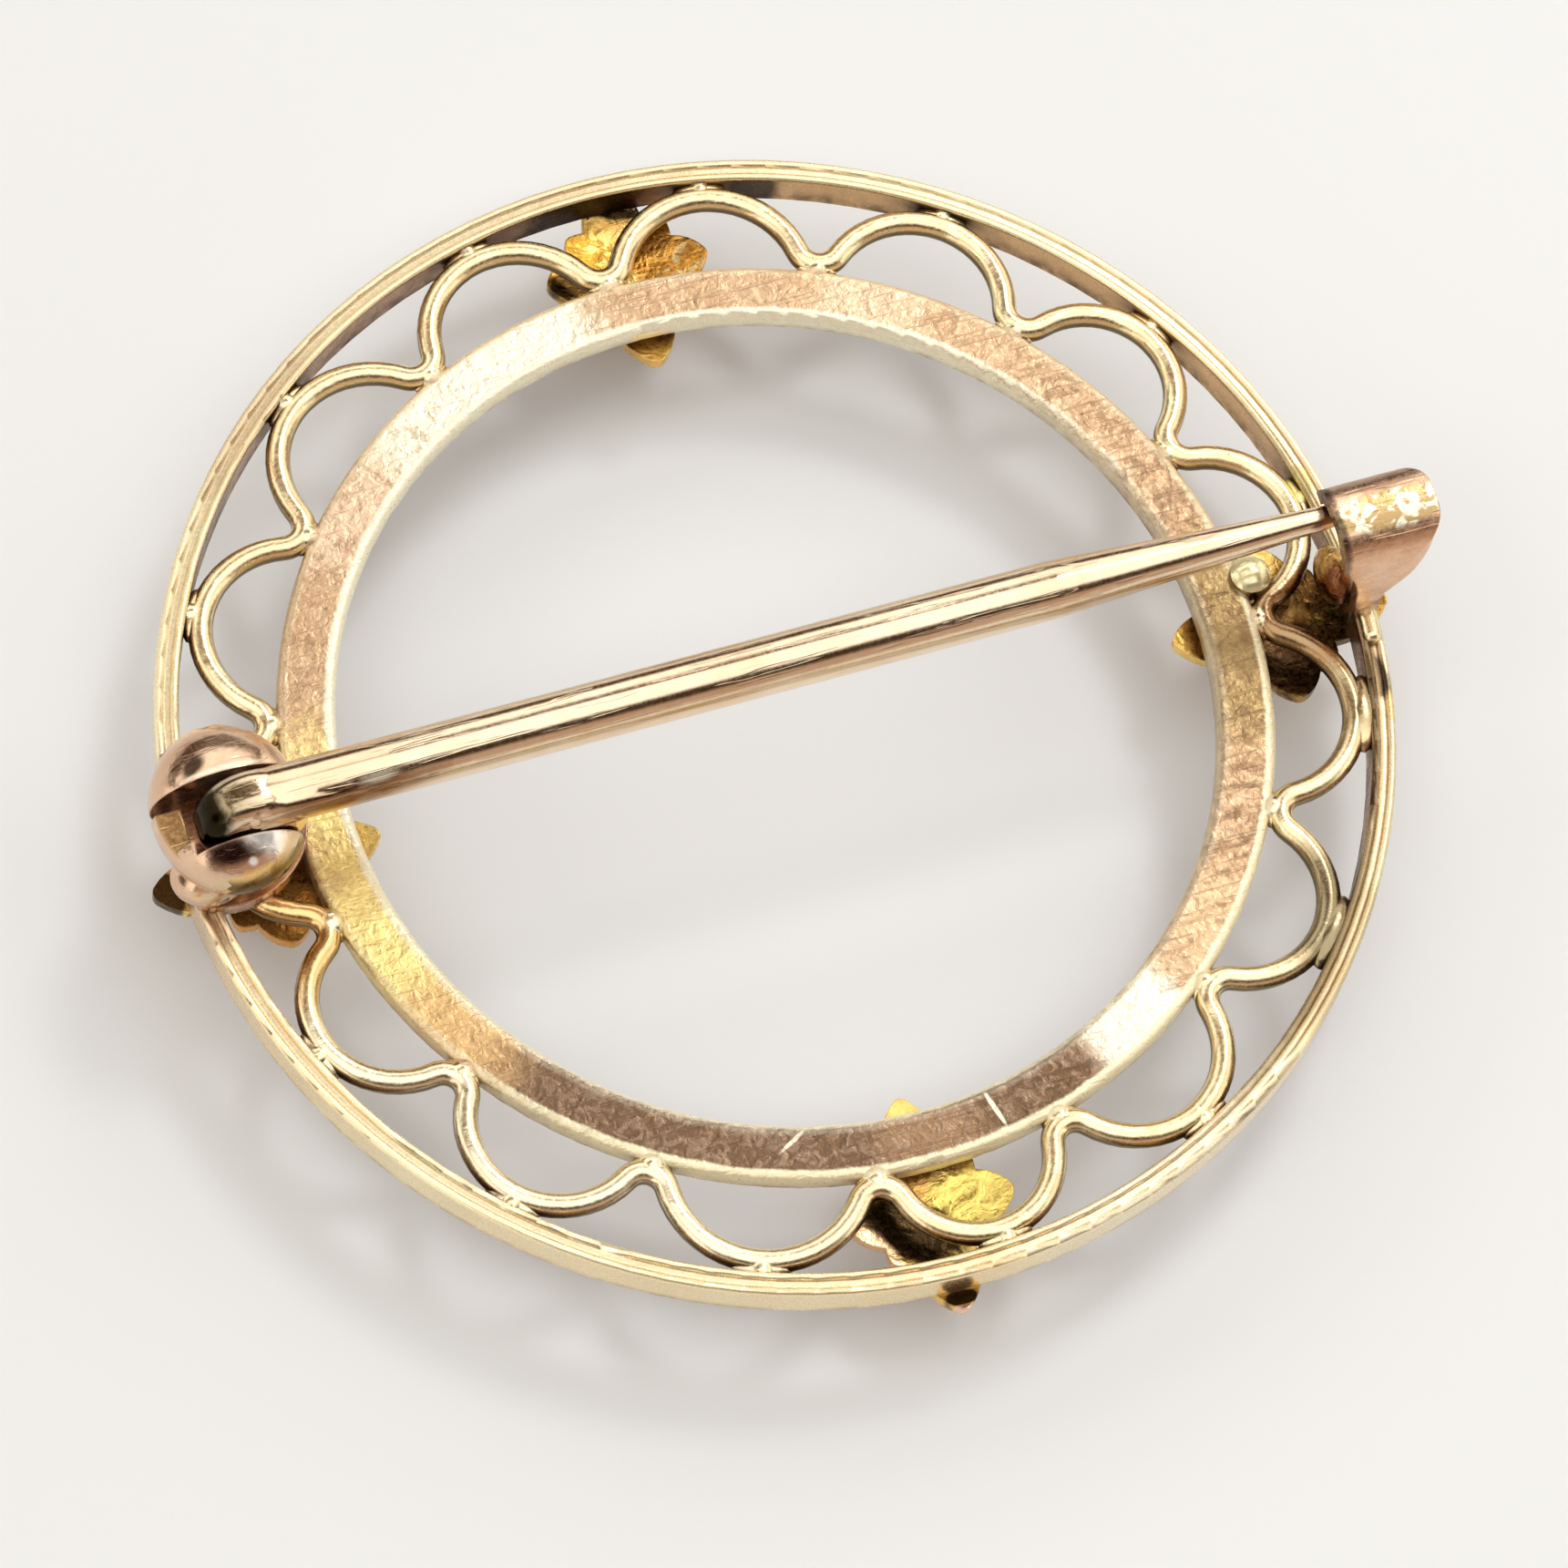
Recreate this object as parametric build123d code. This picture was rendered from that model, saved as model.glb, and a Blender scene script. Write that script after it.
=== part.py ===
from build123d import *
from math import atan2, cos, degrees, radians, sin, sqrt
import os

# A circle brooch of gold, lying face down. Lengths are in millimetres and angles in degrees.
# It is drawn with its back up: z = 0 is the plane of the rim's back edge, the pin stem runs
# along +X from the hinge to the catch, and the leaves and pearls are below.

# Outer rim, a narrow wall whose back edge has two beads with a groove between
ring_d = 24.0
rim_w = 0.47
rim_h = 0.90
rim_bead_outer_r = 0.09
rim_bead_inner_r = 0.085
rim_groove = 0.08
rim_front_bevel = 0.10

# Inner band, a flat ring a little below the rim's back, with rounded edges
channel_w = 1.87
band_w = 1.13
band_t = 0.50
band_below_back = 0.12
band_back_round = 0.14
band_front_round = 0.12

# Scalloped wire between rim and band
wire_d = 0.48
wire_below_back = 0.04
wire_rim_gap = 0.05
wire_band_bite = 0.05
scallop_count = 15
first_valley_angle = 165.0
valley_bend_r = 0.45
valley_drift = (0.4, 0.2, -1.1, -1.4, -2.1, -2.3, -1.5, -0.9, -0.8, -0.4, -0.4, 1.3, 0.1, 0.5, 1.5)

# Solder that joins the wire to the rim and to the band, one uneven drop at each joint
peak_solder_d = 0.56
peak_solder_inset = 0.10
valley_solder_d = 0.62
valley_solder_reach = 0.06
solder_below_wire = 0.06
solder_unevenness = 0.03

# Leaf clusters on the front, with a post to the band, and a cup and a peg for one pearl each
cluster_inset = 1.75
cluster_angles = (-3.5, 88.0, 180.5, 268.0)
leaf_dome_r = 8.0
leaf_below_rim = 0.32
leaf_t = 0.25
outer_leaf_l = (2.25, 2.02, 2.38, 2.22)
inner_leaf_l = 2.25
radial_leaf_w = 1.20
side_leaf_l = 1.66
side_leaf_w = 1.16
corner_leaf_l = 1.38
corner_leaf_w = 0.92
corner_leaf_turn = 48.0
leaf_tip_r = 0.20
vein_w = 0.12
vein_h = 0.08
vein_share = 0.88
post_d = 0.75
post_bite = 0.08
cup_d = 1.48
cup_h = 0.30
cup_lip = 0.06
peg_d = 0.36

# Seed pearls
pearl_d = 1.60
pearl_gap = 0.03
peg_gap = 0.03

# Pin stem: the wire bends down round the rivet, and its end is lapped on the stem's near side
stem_d = 1.12
stem_root_d = 1.14
stem_z = 2.30
stem_taper_inset = 6.70
stem_tip_reach = 0.60
stem_tip_d = 0.28
shank_inset = 4.05
eye_bend_r = 0.50
eye_w = 1.04
eye_corner_r = 0.38
eye_proud = 0.02
eye_gap = 0.05
lap_d = 0.78
lap_tip_d = 0.04
lap_proud = 0.07
lap_turn = 55.0
lap_before_shank = 0.04

# Hinge housing, a domed block on a round plate, with a slot for the eye and a saw cut beside it
hinge_inset = 1.30
rivet_d = 0.40
rivet_gap = 0.02
rivet_hold = 0.22
dome_inset = 0.98
dome_shift_y = 0.40
dome_along = 2.92
dome_across = 3.40
dome_high = 2.24
dome_mid_z = 1.28
slot_gap_near = 0.05
slot_gap_far = 0.21
slot_gap_end = 0.14
slot_gap_floor = 0.12
stop_wall_z = 1.60
stop_near_y = -0.34
foot_inset = 0.40
foot_y = -0.50
foot_z = 0.60
foot_along = 1.56
foot_across = 1.24
foot_high = 1.20
base_d = 3.50
base_inset = 0.87
base_shift_y = 0.65
base_h = 0.18
base_sunk = 0.16
base_margin = 0.03

# Catch, a strip bent over the stem, with its mouth on the far side and solder at its foot
catch_inset = 1.13
catch_l = 2.06
catch_t = 0.26
catch_near_y = -1.20
catch_far_y = 0.50
catch_top_z = 2.93
catch_near_bend_y = 0.85
catch_near_bend_z = 0.80
catch_far_bend_y = 0.60
catch_far_bend_z = 0.50
catch_lip_z = 2.40
catch_corner_r = 0.62
catch_left_z = 2.20
catch_right_z = 2.60
catch_foot_z = 0.70
catch_foot_in = 0.50
catch_foot_l = 0.56
catch_waist = 0.12
catch_sunk = 0.30
pad_d = 0.36
pad_turn = 6.0
pad_mid_angle = -5.3
lump_inset = 0.72
lump_y = -0.36
lump_z = 0.22
lump_along = 0.68
lump_across = 1.20
lump_high = 1.24

# Solder mound on the back of the band beside the catch
mound_inset = 2.20
mound_y = 0.20
mound_d = 0.80
mound_h = 0.20

ring_r = ring_d / 2
rim_in_r = ring_r - rim_w
band_out_r = rim_in_r - channel_w
band_in_r = band_out_r - band_w
wire_r = wire_d / 2
wire_z = -wire_below_back - wire_r
valley_r = band_out_r + wire_r - wire_band_bite
peak_r = rim_in_r - wire_rim_gap - wire_r
cluster_r = ring_r - cluster_inset
leaf_front_z = -rim_h - leaf_below_rim
pearl_r = pearl_d / 2
stem_r = stem_d / 2
root_r = stem_root_d / 2
hinge_x = hinge_inset - ring_r
rivet_z = stem_z - eye_bend_r
rivet_r = rivet_d / 2
eye_r = eye_bend_r + root_r + eye_proud
shank_start_x = shank_inset - ring_r
shank_end_x = ring_r - stem_taper_inset
stem_tip_x = ring_r + stem_tip_reach
slot_near_y = -eye_w / 2 - slot_gap_near
slot_far_y = eye_w / 2 + slot_gap_far
catch_x = ring_r - catch_inset
cut_margin = 1.0
up = (0, 0, 1)


def at_polar(radius, angle, z=0.0):
    return Vector(radius * cos(radians(angle)), radius * sin(radians(angle)), z)


def box_between(low, high):
    size = [b - a for a, b in zip(low, high)]
    middle = [(a + b) / 2 for a, b in zip(low, high)]
    return Pos(*middle) * Box(*size)


def bar_along_y(x, z, radius, low_y, high_y):
    plane = Plane(origin=(x, low_y, z), x_dir=(1, 0, 0), z_dir=(0, 1, 0))
    return extrude(plane * Circle(radius), high_y - low_y)


# Rings turned about Z

def turned(section):
    return revolve(Plane.XZ * section, Axis.Z, 360)


def make_rim():
    wall = Polyline(
        (rim_in_r, -rim_groove),
        (rim_in_r, -rim_h + rim_front_bevel),
        (rim_in_r + rim_front_bevel, -rim_h),
        (ring_r - rim_front_bevel, -rim_h),
        (ring_r, -rim_h + rim_front_bevel),
        (ring_r, -rim_bead_outer_r),
        (ring_r - rim_bead_outer_r, -rim_groove),
        close=True,
    )
    section = make_face(wall)
    section += Pos(ring_r - rim_bead_outer_r, -rim_bead_outer_r) * Circle(rim_bead_outer_r)
    section += Pos(rim_in_r + rim_bead_inner_r, -rim_bead_inner_r) * Circle(rim_bead_inner_r)
    return turned(section)


def make_band():
    middle_z = -band_below_back - band_t / 2
    section = Pos((band_in_r + band_out_r) / 2, middle_z) * Rectangle(band_w, band_t)
    section = fillet(section.vertices().group_by(Axis.Y)[-1], band_back_round)
    section = fillet(section.vertices().group_by(Axis.Y)[0], band_front_round)
    return turned(section)


# Scalloped wire: each scallop is one arc under the rim, and small bends at the band join them

def valley_angle(index):
    turn = index // scallop_count
    place = index % scallop_count
    pitch = 360 / scallop_count
    drift = valley_drift[place % len(valley_drift)]
    return first_valley_angle - place * pitch + drift - 360 * turn


def scallop_arc(half_angle):
    # radius and centre distance of the arc that meets both valley bends without a kink
    bend_centre = valley_r + valley_bend_r
    along = bend_centre * cos(radians(half_angle))
    gap2 = peak_r ** 2 + bend_centre ** 2 - 2 * peak_r * along - valley_bend_r ** 2
    radius = gap2 / (2 * (peak_r - along + valley_bend_r))
    return radius, peak_r - radius


def wire_arc(centre, start, sweep):
    out = (start - centre).normalized()
    along = Vector(*up).cross(out)
    profile = Plane(origin=start, x_dir=out, z_dir=along) * Circle(wire_r)
    return revolve(profile, Axis(centre, up), sweep)


def turn_between(centre, start, end):
    first = atan2(start.Y - centre.Y, start.X - centre.X)
    last = atan2(end.Y - centre.Y, end.X - centre.X)
    return degrees(last - first) % 360


def make_wires():
    arcs = []
    bend_centres = [at_polar(valley_r + valley_bend_r, valley_angle(i), wire_z)
                    for i in range(scallop_count + 1)]
    joints = []
    for i in range(scallop_count):
        half_angle = (valley_angle(i) - valley_angle(i + 1)) / 2
        middle = valley_angle(i) - half_angle
        radius, distance = scallop_arc(half_angle)
        centre = at_polar(distance, middle, wire_z)
        left = centre + (bend_centres[i] - centre).normalized() * radius
        right = centre + (bend_centres[i + 1] - centre).normalized() * radius
        arcs.append(wire_arc(centre, right, turn_between(centre, right, left)))
        joints.append((left, right))
    for i in range(scallop_count):
        centre = bend_centres[i]
        before = joints[i - 1][1]
        after = joints[i][0]
        arcs.append(wire_arc(centre, before, turn_between(centre, before, after)))
    return arcs


def solder_drop(radius, angle, diameter, way):
    # the drop's own axis lies along the ring, and its seam is turned into the wire
    z = wire_z - solder_below_wire
    seam = at_polar(way, angle)
    place = Plane(origin=at_polar(radius, angle, z), x_dir=seam, z_dir=Vector(*up).cross(seam))
    return place * Sphere(diameter / 2)


def make_solder():
    drops = []
    for i in range(scallop_count):
        uneven = 1 + solder_unevenness * valley_drift[i % len(valley_drift)]
        peak_angle = (valley_angle(i) + valley_angle(i + 1)) / 2
        peak_at = rim_in_r - peak_solder_inset
        valley_at = band_out_r + valley_solder_reach
        drops.append(solder_drop(peak_at, peak_angle, peak_solder_d * uneven, -1))
        drops.append(solder_drop(valley_at, valley_angle(i), valley_solder_d * uneven, 1))
    return drops


# Leaf clusters

def dome_z(radius, reach):
    # height of a leaf surface at a distance from the middle of its cluster
    return leaf_front_z + leaf_dome_r - sqrt(radius ** 2 - reach ** 2)


def pearl_centre_z():
    cup_face = leaf_front_z - cup_h
    seat_r = pearl_r + pearl_gap
    lip_r = cup_d / 2 - cup_lip
    return cup_face - sqrt(seat_r ** 2 - lip_r ** 2)


def leaf_blade(length, width, turn):
    edge = ThreePointArc((0, 0), (length / 2, width / 2), (length, 0))
    other = ThreePointArc((length, 0), (length / 2, -width / 2), (0, 0))
    blade = make_face([edge, other])
    blade = fillet(blade.vertices().sort_by(Axis.X)[-1], leaf_tip_r)
    return Rot(0, 0, turn) * blade


def leaf_plan(outer_l):
    blades = [(outer_l, radial_leaf_w, 0), (inner_leaf_l, radial_leaf_w, 180),
              (side_leaf_l, side_leaf_w, 90), (side_leaf_l, side_leaf_w, 270)]
    blades += [(corner_leaf_l, corner_leaf_w, side + way * corner_leaf_turn)
               for side in (0, 180) for way in (1, -1)]
    return blades


def make_cluster(outer_l):
    dome_centre = Pos(0, 0, leaf_front_z + leaf_dome_r)
    blade_plan = leaf_plan(outer_l)
    outline = leaf_blade(*blade_plan[0])
    veins = []
    for length, width, turn in blade_plan:
        outline += leaf_blade(length, width, turn)
        vein_l = length * vein_share
        ridge = Pos(vein_l / 2, 0, leaf_front_z) * Box(vein_l, vein_w, 2 * leaf_t + 2 * vein_h)
        veins.append(Rot(0, 0, turn) * ridge)
    edge_z = dome_z(leaf_dome_r - leaf_t, max(outer_l, inner_leaf_l))
    low_z = leaf_front_z - cut_margin
    slab = extrude(Pos(0, 0, low_z) * outline, edge_z + cut_margin - low_z)
    blades = slab & (dome_centre * Sphere(leaf_dome_r))
    blades -= dome_centre * Sphere(leaf_dome_r - leaf_t)
    raised = (veins[0] + veins[1:]) & (dome_centre * Sphere(leaf_dome_r + vein_h))
    raised -= dome_centre * Sphere(leaf_dome_r - leaf_t / 2)
    post_reach = cluster_r - (band_in_r + band_out_r) / 2
    post_low = dome_z(leaf_dome_r - leaf_t / 2, post_reach)
    post_top = -band_below_back - band_t + post_bite
    post = Pos(-post_reach, 0, (post_low + post_top) / 2) * Cylinder(post_d / 2, post_top - post_low)
    cup_top = leaf_front_z + leaf_t / 2
    cup_low = leaf_front_z - cup_h
    cup = Pos(0, 0, (cup_top + cup_low) / 2) * Cylinder(cup_d / 2, cup_top - cup_low)
    cluster = blades + [raised, post, cup]
    seat_z = pearl_centre_z()
    cluster -= Pos(0, 0, seat_z) * Sphere(pearl_r + pearl_gap)
    peg = Pos(0, 0, (cup_top + seat_z) / 2) * Cylinder(peg_d / 2, cup_top - seat_z)
    return cluster + peg


def cluster_place(angle):
    return Rot(0, 0, angle) * Pos(cluster_r, 0, 0)


def make_pearl():
    centre = pearl_centre_z()
    hole_top = centre + pearl_d
    hole_low = centre - peg_gap
    hole = Pos(0, 0, (hole_top + hole_low) / 2) * Cylinder(peg_d / 2 + peg_gap, hole_top - hole_low)
    return Pos(0, 0, centre) * Sphere(pearl_r) - hole


# Hinge housing and the rivet, whose ends are sunk in the ears and worked over

def rivet_bar(gap):
    low = slot_near_y - rivet_hold - gap
    high = slot_far_y + rivet_hold + gap
    return bar_along_y(hinge_x, rivet_z, rivet_r + gap, low, high)


def make_housing():
    dome = scale(Sphere(1), (dome_along / 2, dome_across / 2, dome_high / 2))
    dome = Pos(dome_inset - ring_r, dome_shift_y, dome_mid_z) * dome
    foot = scale(Sphere(1), (foot_along / 2, foot_across / 2, foot_high / 2))
    foot = Pos(foot_inset - ring_r, foot_y, foot_z) * foot
    base_middle = (base_h - base_sunk) / 2
    base = Pos(base_inset - ring_r, base_shift_y, base_middle) * Cylinder(base_d / 2, base_h + base_sunk)
    base = base & (Pos(0, 0, base_middle) * Cylinder(ring_r - base_margin, 2 * base_d))
    housing = dome + [foot, base]
    left = -ring_r - dome_along
    right = hinge_x + dome_along
    high = dome_mid_z + dome_high
    end = hinge_x - eye_r - slot_gap_end
    floor = rivet_z - eye_r - slot_gap_floor
    housing -= box_between((end, slot_near_y, floor), (right, slot_far_y, high))
    housing -= box_between((left, eye_w / 2, floor), (right, slot_far_y, high))
    housing -= box_between((left, stop_near_y, stop_wall_z), (right, slot_far_y, high))
    return housing - rivet_bar(rivet_gap)


# Catch

def half_arch(near, far, top, bends):
    # the outline of the bent strip's section, from the foot over the top to the mouth
    near_y, near_z, far_y, far_z = bends
    low = -catch_sunk
    near_bend = Pos(near + near_y, top - near_z) * Ellipse(near_y, near_z)
    far_bend = Pos(far - far_y, top - far_z) * Ellipse(far_y, far_z)
    block = make_face(Polyline((near, low), (near, top - near_z), (near + near_y, top - near_z),
                               (near + near_y, top), (far - far_y, top), (far - far_y, top - far_z),
                               (far, top - far_z), (far, low), close=True))
    return block + [near_bend, far_bend]


def make_catch():
    near, far, t = catch_near_y, catch_far_y, catch_t
    bends = (catch_near_bend_y, catch_near_bend_z, catch_far_bend_y, catch_far_bend_z)
    outer = half_arch(near, far, catch_top_z, bends)
    inner = half_arch(near + t, far - t, catch_top_z - t, [bend - t for bend in bends])
    side = Plane(origin=(catch_x, 0, 0), x_dir=(0, 1, 0), z_dir=(1, 0, 0))
    strip = extrude(side * (outer - inner), catch_l)
    right = catch_x + catch_l
    wide = far - near + 2 * cut_margin
    strip -= box_between((catch_x - cut_margin, near + t, -catch_sunk - cut_margin),
                         (right + cut_margin, far + cut_margin, catch_lip_z))
    foot_left = catch_x + catch_foot_in
    foot_right = foot_left + catch_foot_l
    high = catch_top_z + cut_margin
    low = -catch_sunk - cut_margin
    left_mid = ((catch_x + foot_left) / 2 + catch_waist, (catch_left_z + catch_foot_z) / 2)
    right_mid = ((right + foot_right) / 2 + catch_waist, (catch_right_z + catch_foot_z) / 2)
    profile = make_face([
        Line((catch_x, catch_left_z), (catch_x, high)),
        Line((catch_x, high), (right, high)),
        Line((right, high), (right, catch_right_z)),
        ThreePointArc((right, catch_right_z), right_mid, (foot_right, catch_foot_z)),
        Line((foot_right, catch_foot_z), (foot_right, low)),
        Line((foot_right, low), (foot_left, low)),
        Line((foot_left, low), (foot_left, catch_foot_z)),
        ThreePointArc((foot_left, catch_foot_z), left_mid, (catch_x, catch_left_z)),
    ])
    front = Plane(origin=(0, far + cut_margin, 0), x_dir=(1, 0, 0), z_dir=(0, -1, 0))
    strip = strip & extrude(front * profile, wide)
    middle_y = (near + far) / 2
    plan = Pos(catch_x + catch_l / 2, middle_y, low) * RectangleRounded(catch_l, far - near, catch_corner_r)
    plan += Pos(catch_x + catch_l / 4, middle_y, low) * Rectangle(catch_l / 2, far - near)
    strip = strip & extrude(plan, high - low)
    lump = scale(Sphere(1), (lump_along / 2, lump_across / 2, lump_high / 2))
    return strip + [*make_pad(), Pos(ring_r - lump_inset, lump_y, lump_z) * lump]


def make_pad():
    # solder along the rim under the catch's foot, with round ends
    mid_r = ring_r - rim_w / 2
    start = at_polar(mid_r, pad_mid_angle - pad_turn / 2)
    end = at_polar(mid_r, pad_mid_angle + pad_turn / 2)
    profile = Plane(origin=start, x_dir=start, z_dir=Vector(*up).cross(start)) * Circle(pad_d / 2)
    run = revolve(profile, Axis.Z, pad_turn)
    return [run] + [Pos(p.X, p.Y, p.Z) * Sphere(pad_d / 2) for p in (start, end)]


def make_mound():
    cap_r = (mound_d ** 2 / 4 + mound_h ** 2) / (2 * mound_h)
    ball = Pos(ring_r - mound_inset, mound_y, mound_h - cap_r) * Sphere(cap_r)
    low = -band_below_back - band_t / 2
    keep = Pos(ring_r - mound_inset, mound_y, (low + mound_h) / 2) * Cylinder(mound_d / 2, mound_h - low)
    return ball & keep


# Pin stem

def along_stem(section):
    # turns a section drawn as (x, radius) about the stem's own axis
    plane = Plane(origin=(0, 0, stem_z), x_dir=(1, 0, 0), z_dir=(0, -1, 0))
    return revolve(plane * section, Axis((0, 0, stem_z), (1, 0, 0)), 360)


def make_eye():
    # a barrel with round edges, as the wire bent down round the rivet and filled with solder
    across = Plane(origin=(hinge_x, 0, rivet_z), x_dir=(0, 1, 0), z_dir=(1, 0, 0))
    above = Pos(0, eye_r) * Rectangle(2 * eye_w, 2 * eye_r)
    profile = RectangleRounded(eye_w, 2 * eye_r, eye_corner_r) & above
    return revolve(across * profile, Axis((hinge_x, 0, rivet_z), (0, 1, 0)), 360)


def make_stem():
    tip_r = stem_tip_d / 2
    tip_start = stem_tip_x - tip_r
    tip_mid = (tip_start + tip_r * sqrt(0.5), tip_r * sqrt(0.5))
    rod = along_stem(make_face([
        Line((hinge_x, 0), (hinge_x, root_r)),
        Line((hinge_x, root_r), (shank_start_x, stem_r)),
        Line((shank_start_x, stem_r), (shank_end_x, stem_r)),
        Line((shank_end_x, stem_r), (tip_start, tip_r)),
        ThreePointArc((tip_start, tip_r), tip_mid, (stem_tip_x, 0)),
        Line((stem_tip_x, 0), (hinge_x, 0)),
    ]))
    stem = rod + [make_eye(), make_lap()]
    return stem - bar_along_y(hinge_x, rivet_z, rivet_r + eye_gap, -eye_w, eye_w)


def make_lap():
    # the wire's end, a slim drop shape half sunk in the near side of the stem
    lap_r = lap_d / 2
    tip_r = lap_tip_d / 2
    away = Vector(0, -sin(radians(lap_turn)), cos(radians(lap_turn)))
    start = Vector(hinge_x, 0, stem_z) + away * (root_r + lap_proud - lap_r)
    tip_x = shank_start_x - lap_before_shank
    end = Vector(tip_x, 0, stem_z) + away * (stem_r - tip_r)
    length = (end - start).length
    along = (end - start).normalized()
    profile = make_face([
        ThreePointArc((-lap_r, 0), (-lap_r * sqrt(0.5), lap_r * sqrt(0.5)), (0, lap_r)),
        Line((0, lap_r), (length, tip_r)),
        Line((length, tip_r), (length, 0)),
        Line((length, 0), (-lap_r, 0)),
    ])
    plane = Plane(origin=start, x_dir=along, z_dir=along.cross(away))
    return revolve(plane * profile, Axis(start, along), 360)


def make_frame():
    ring = make_rim() + [make_band(), *make_wires(), *make_solder()]
    pieces = [make_housing(), make_catch(), make_mound()]
    for angle, outer_l in zip(cluster_angles, outer_leaf_l):
        pieces.append(cluster_place(angle) * make_cluster(outer_l))
    return ring + pieces


def build():
    nodes = {"frame": make_frame(), "pin_stem": make_stem(), "hinge_rivet": rivet_bar(0)}
    pearl = make_pearl()
    for i, angle in enumerate(cluster_angles):
        nodes[f"pearl_{i + 1}"] = cluster_place(angle) * pearl
    boxes = [node.bounding_box() for node in nodes.values()]
    low = Vector(min(b.min.X for b in boxes), min(b.min.Y for b in boxes), min(b.min.Z for b in boxes))
    high = Vector(max(b.max.X for b in boxes), max(b.max.Y for b in boxes), max(b.max.Z for b in boxes))
    # the origin goes to the middle of the footprint, on the surface that the pearls rest on
    shift = Vector(-(low.X + high.X) / 2, -(low.Y + high.Y) / 2, -low.Z)
    return {name: Pos(shift.X, shift.Y, shift.Z) * node for name, node in nodes.items()}, shift


nodes, origin_shift = build()
os.makedirs("parts", exist_ok=True)
for name, node in nodes.items():
    export_step(node, f"parts/{name}.step")
    print(name, "solids", len(node.solids()), "volume", round(node.volume, 4))
print("origin shift", round(origin_shift.X, 4), round(origin_shift.Y, 4), round(origin_shift.Z, 4))
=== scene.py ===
import math
import bpy
import numpy as np
from mathutils import Matrix, Vector
from mathutils.noise import noise as surfaceNoise


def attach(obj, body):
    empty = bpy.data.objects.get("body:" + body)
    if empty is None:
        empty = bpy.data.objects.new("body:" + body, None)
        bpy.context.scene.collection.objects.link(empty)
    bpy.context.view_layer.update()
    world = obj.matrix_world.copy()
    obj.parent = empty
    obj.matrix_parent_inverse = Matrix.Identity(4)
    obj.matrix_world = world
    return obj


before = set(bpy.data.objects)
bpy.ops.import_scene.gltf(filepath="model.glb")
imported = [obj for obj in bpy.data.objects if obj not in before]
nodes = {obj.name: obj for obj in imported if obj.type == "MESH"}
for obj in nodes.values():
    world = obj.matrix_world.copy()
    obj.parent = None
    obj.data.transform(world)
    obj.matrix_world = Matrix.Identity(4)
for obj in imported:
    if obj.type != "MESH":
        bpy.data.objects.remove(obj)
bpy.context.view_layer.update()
print("frame loaded")

mm = 0.001
ringMiddle = Vector((-0.1805, 0.0931, 2.7959)) * mm    # middle of the ring's back plane, in the frame
scene = bpy.context.scene


def fromRing(x, y, z):
    return ringMiddle + Vector((x, y, z)) * mm


# camera, fitted to the rim, the band and the stem; angles in degrees, lengths in millimetres
shot = {
    "azimuth": -31.55,
    "elevation": 65.17,
    "roll": 14.09,
    "distance": 156.891,
    "target": (-0.430, -1.513, 0.0),
    "focal": 9000.0,       # in pixels of the photo
    "picture": 1721.0,     # the photo's width in pixels
    "sensor": 36.0,
    "clip": (10.0, 10000.0),
}


def makeCamera():
    az, el, roll = (math.radians(shot[k]) for k in ("azimuth", "elevation", "roll"))
    back = Vector((math.sin(az) * math.cos(el), -math.cos(az) * math.cos(el), math.sin(el)))
    level = Vector((math.cos(az), math.sin(az), 0.0))
    rise = back.cross(level)
    right = level * math.cos(roll) + rise * math.sin(roll)
    up = rise * math.cos(roll) - level * math.sin(roll)
    data = bpy.data.cameras.new("shotCamera")
    data.sensor_width = shot["sensor"]
    data.lens = shot["sensor"] * shot["focal"] / shot["picture"]
    data.clip_start, data.clip_end = (reach * mm for reach in shot["clip"])
    cam = bpy.data.objects.new("shotCamera", data)
    turn = Matrix((right, up, back)).transposed().to_4x4()
    cam.matrix_world = Matrix.Translation(fromRing(*shot["target"]) + back * shot["distance"] * mm) @ turn
    scene.collection.objects.link(cam)
    scene.camera = cam


makeCamera()
print("camera placed")


# node helpers; an input named _0 or _1 is a socket's number
def freshMaterial(name):
    mat = bpy.data.materials.new(name)
    mat.use_nodes = True
    mat.node_tree.nodes.clear()
    return mat, mat.node_tree


def addNode(tree, kind, settings=None, **inputs):
    node = tree.nodes.new("ShaderNode" + kind)
    for key, value in (settings or {}).items():
        setattr(node, key, value)
    for key, value in inputs.items():
        socket = node.inputs[int(key[1:]) if key[1:].isdigit() else key.replace("_", " ")]
        if isinstance(value, bpy.types.NodeSocket):
            tree.links.new(value, socket)
        else:
            socket.default_value = value
    return node


def ringPlace(tree):
    # place in millimetres from the middle of the ring's back plane
    place = addNode(tree, "TexCoord").outputs["Object"]
    shifted = addNode(tree, "VectorMath", {"operation": "SUBTRACT"}, _0=place, _1=tuple(ringMiddle))
    return addNode(tree, "VectorMath", {"operation": "SCALE"}, _0=shifted.outputs[0], Scale=1 / mm).outputs[0]


def doMath(tree, operation, first, second=0.0):
    return addNode(tree, "Math", {"operation": operation}, _0=first, _1=second).outputs[0]


def smooth(tree, value, low, high, toLow=0.0, toHigh=1.0):
    return addNode(tree, "MapRange", {"interpolation_type": "SMOOTHSTEP"}, Value=value, From_Min=low,
                   From_Max=high, To_Min=toLow, To_Max=toHigh).outputs["Result"]


def noise(tree, place, scale, detail=3.0, roughness=0.55, distortion=0.0):
    return addNode(tree, "TexNoise", Vector=place, Scale=scale, Detail=detail, Roughness=roughness,
                   Distortion=distortion).outputs["Fac"]


def blend(tree, factor, first, second):
    colours = [(*c, 1) if isinstance(c, tuple) else c for c in (first, second)]
    return addNode(tree, "MixRGB", Fac=factor, Color1=colours[0], Color2=colours[1]).outputs["Color"]


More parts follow.
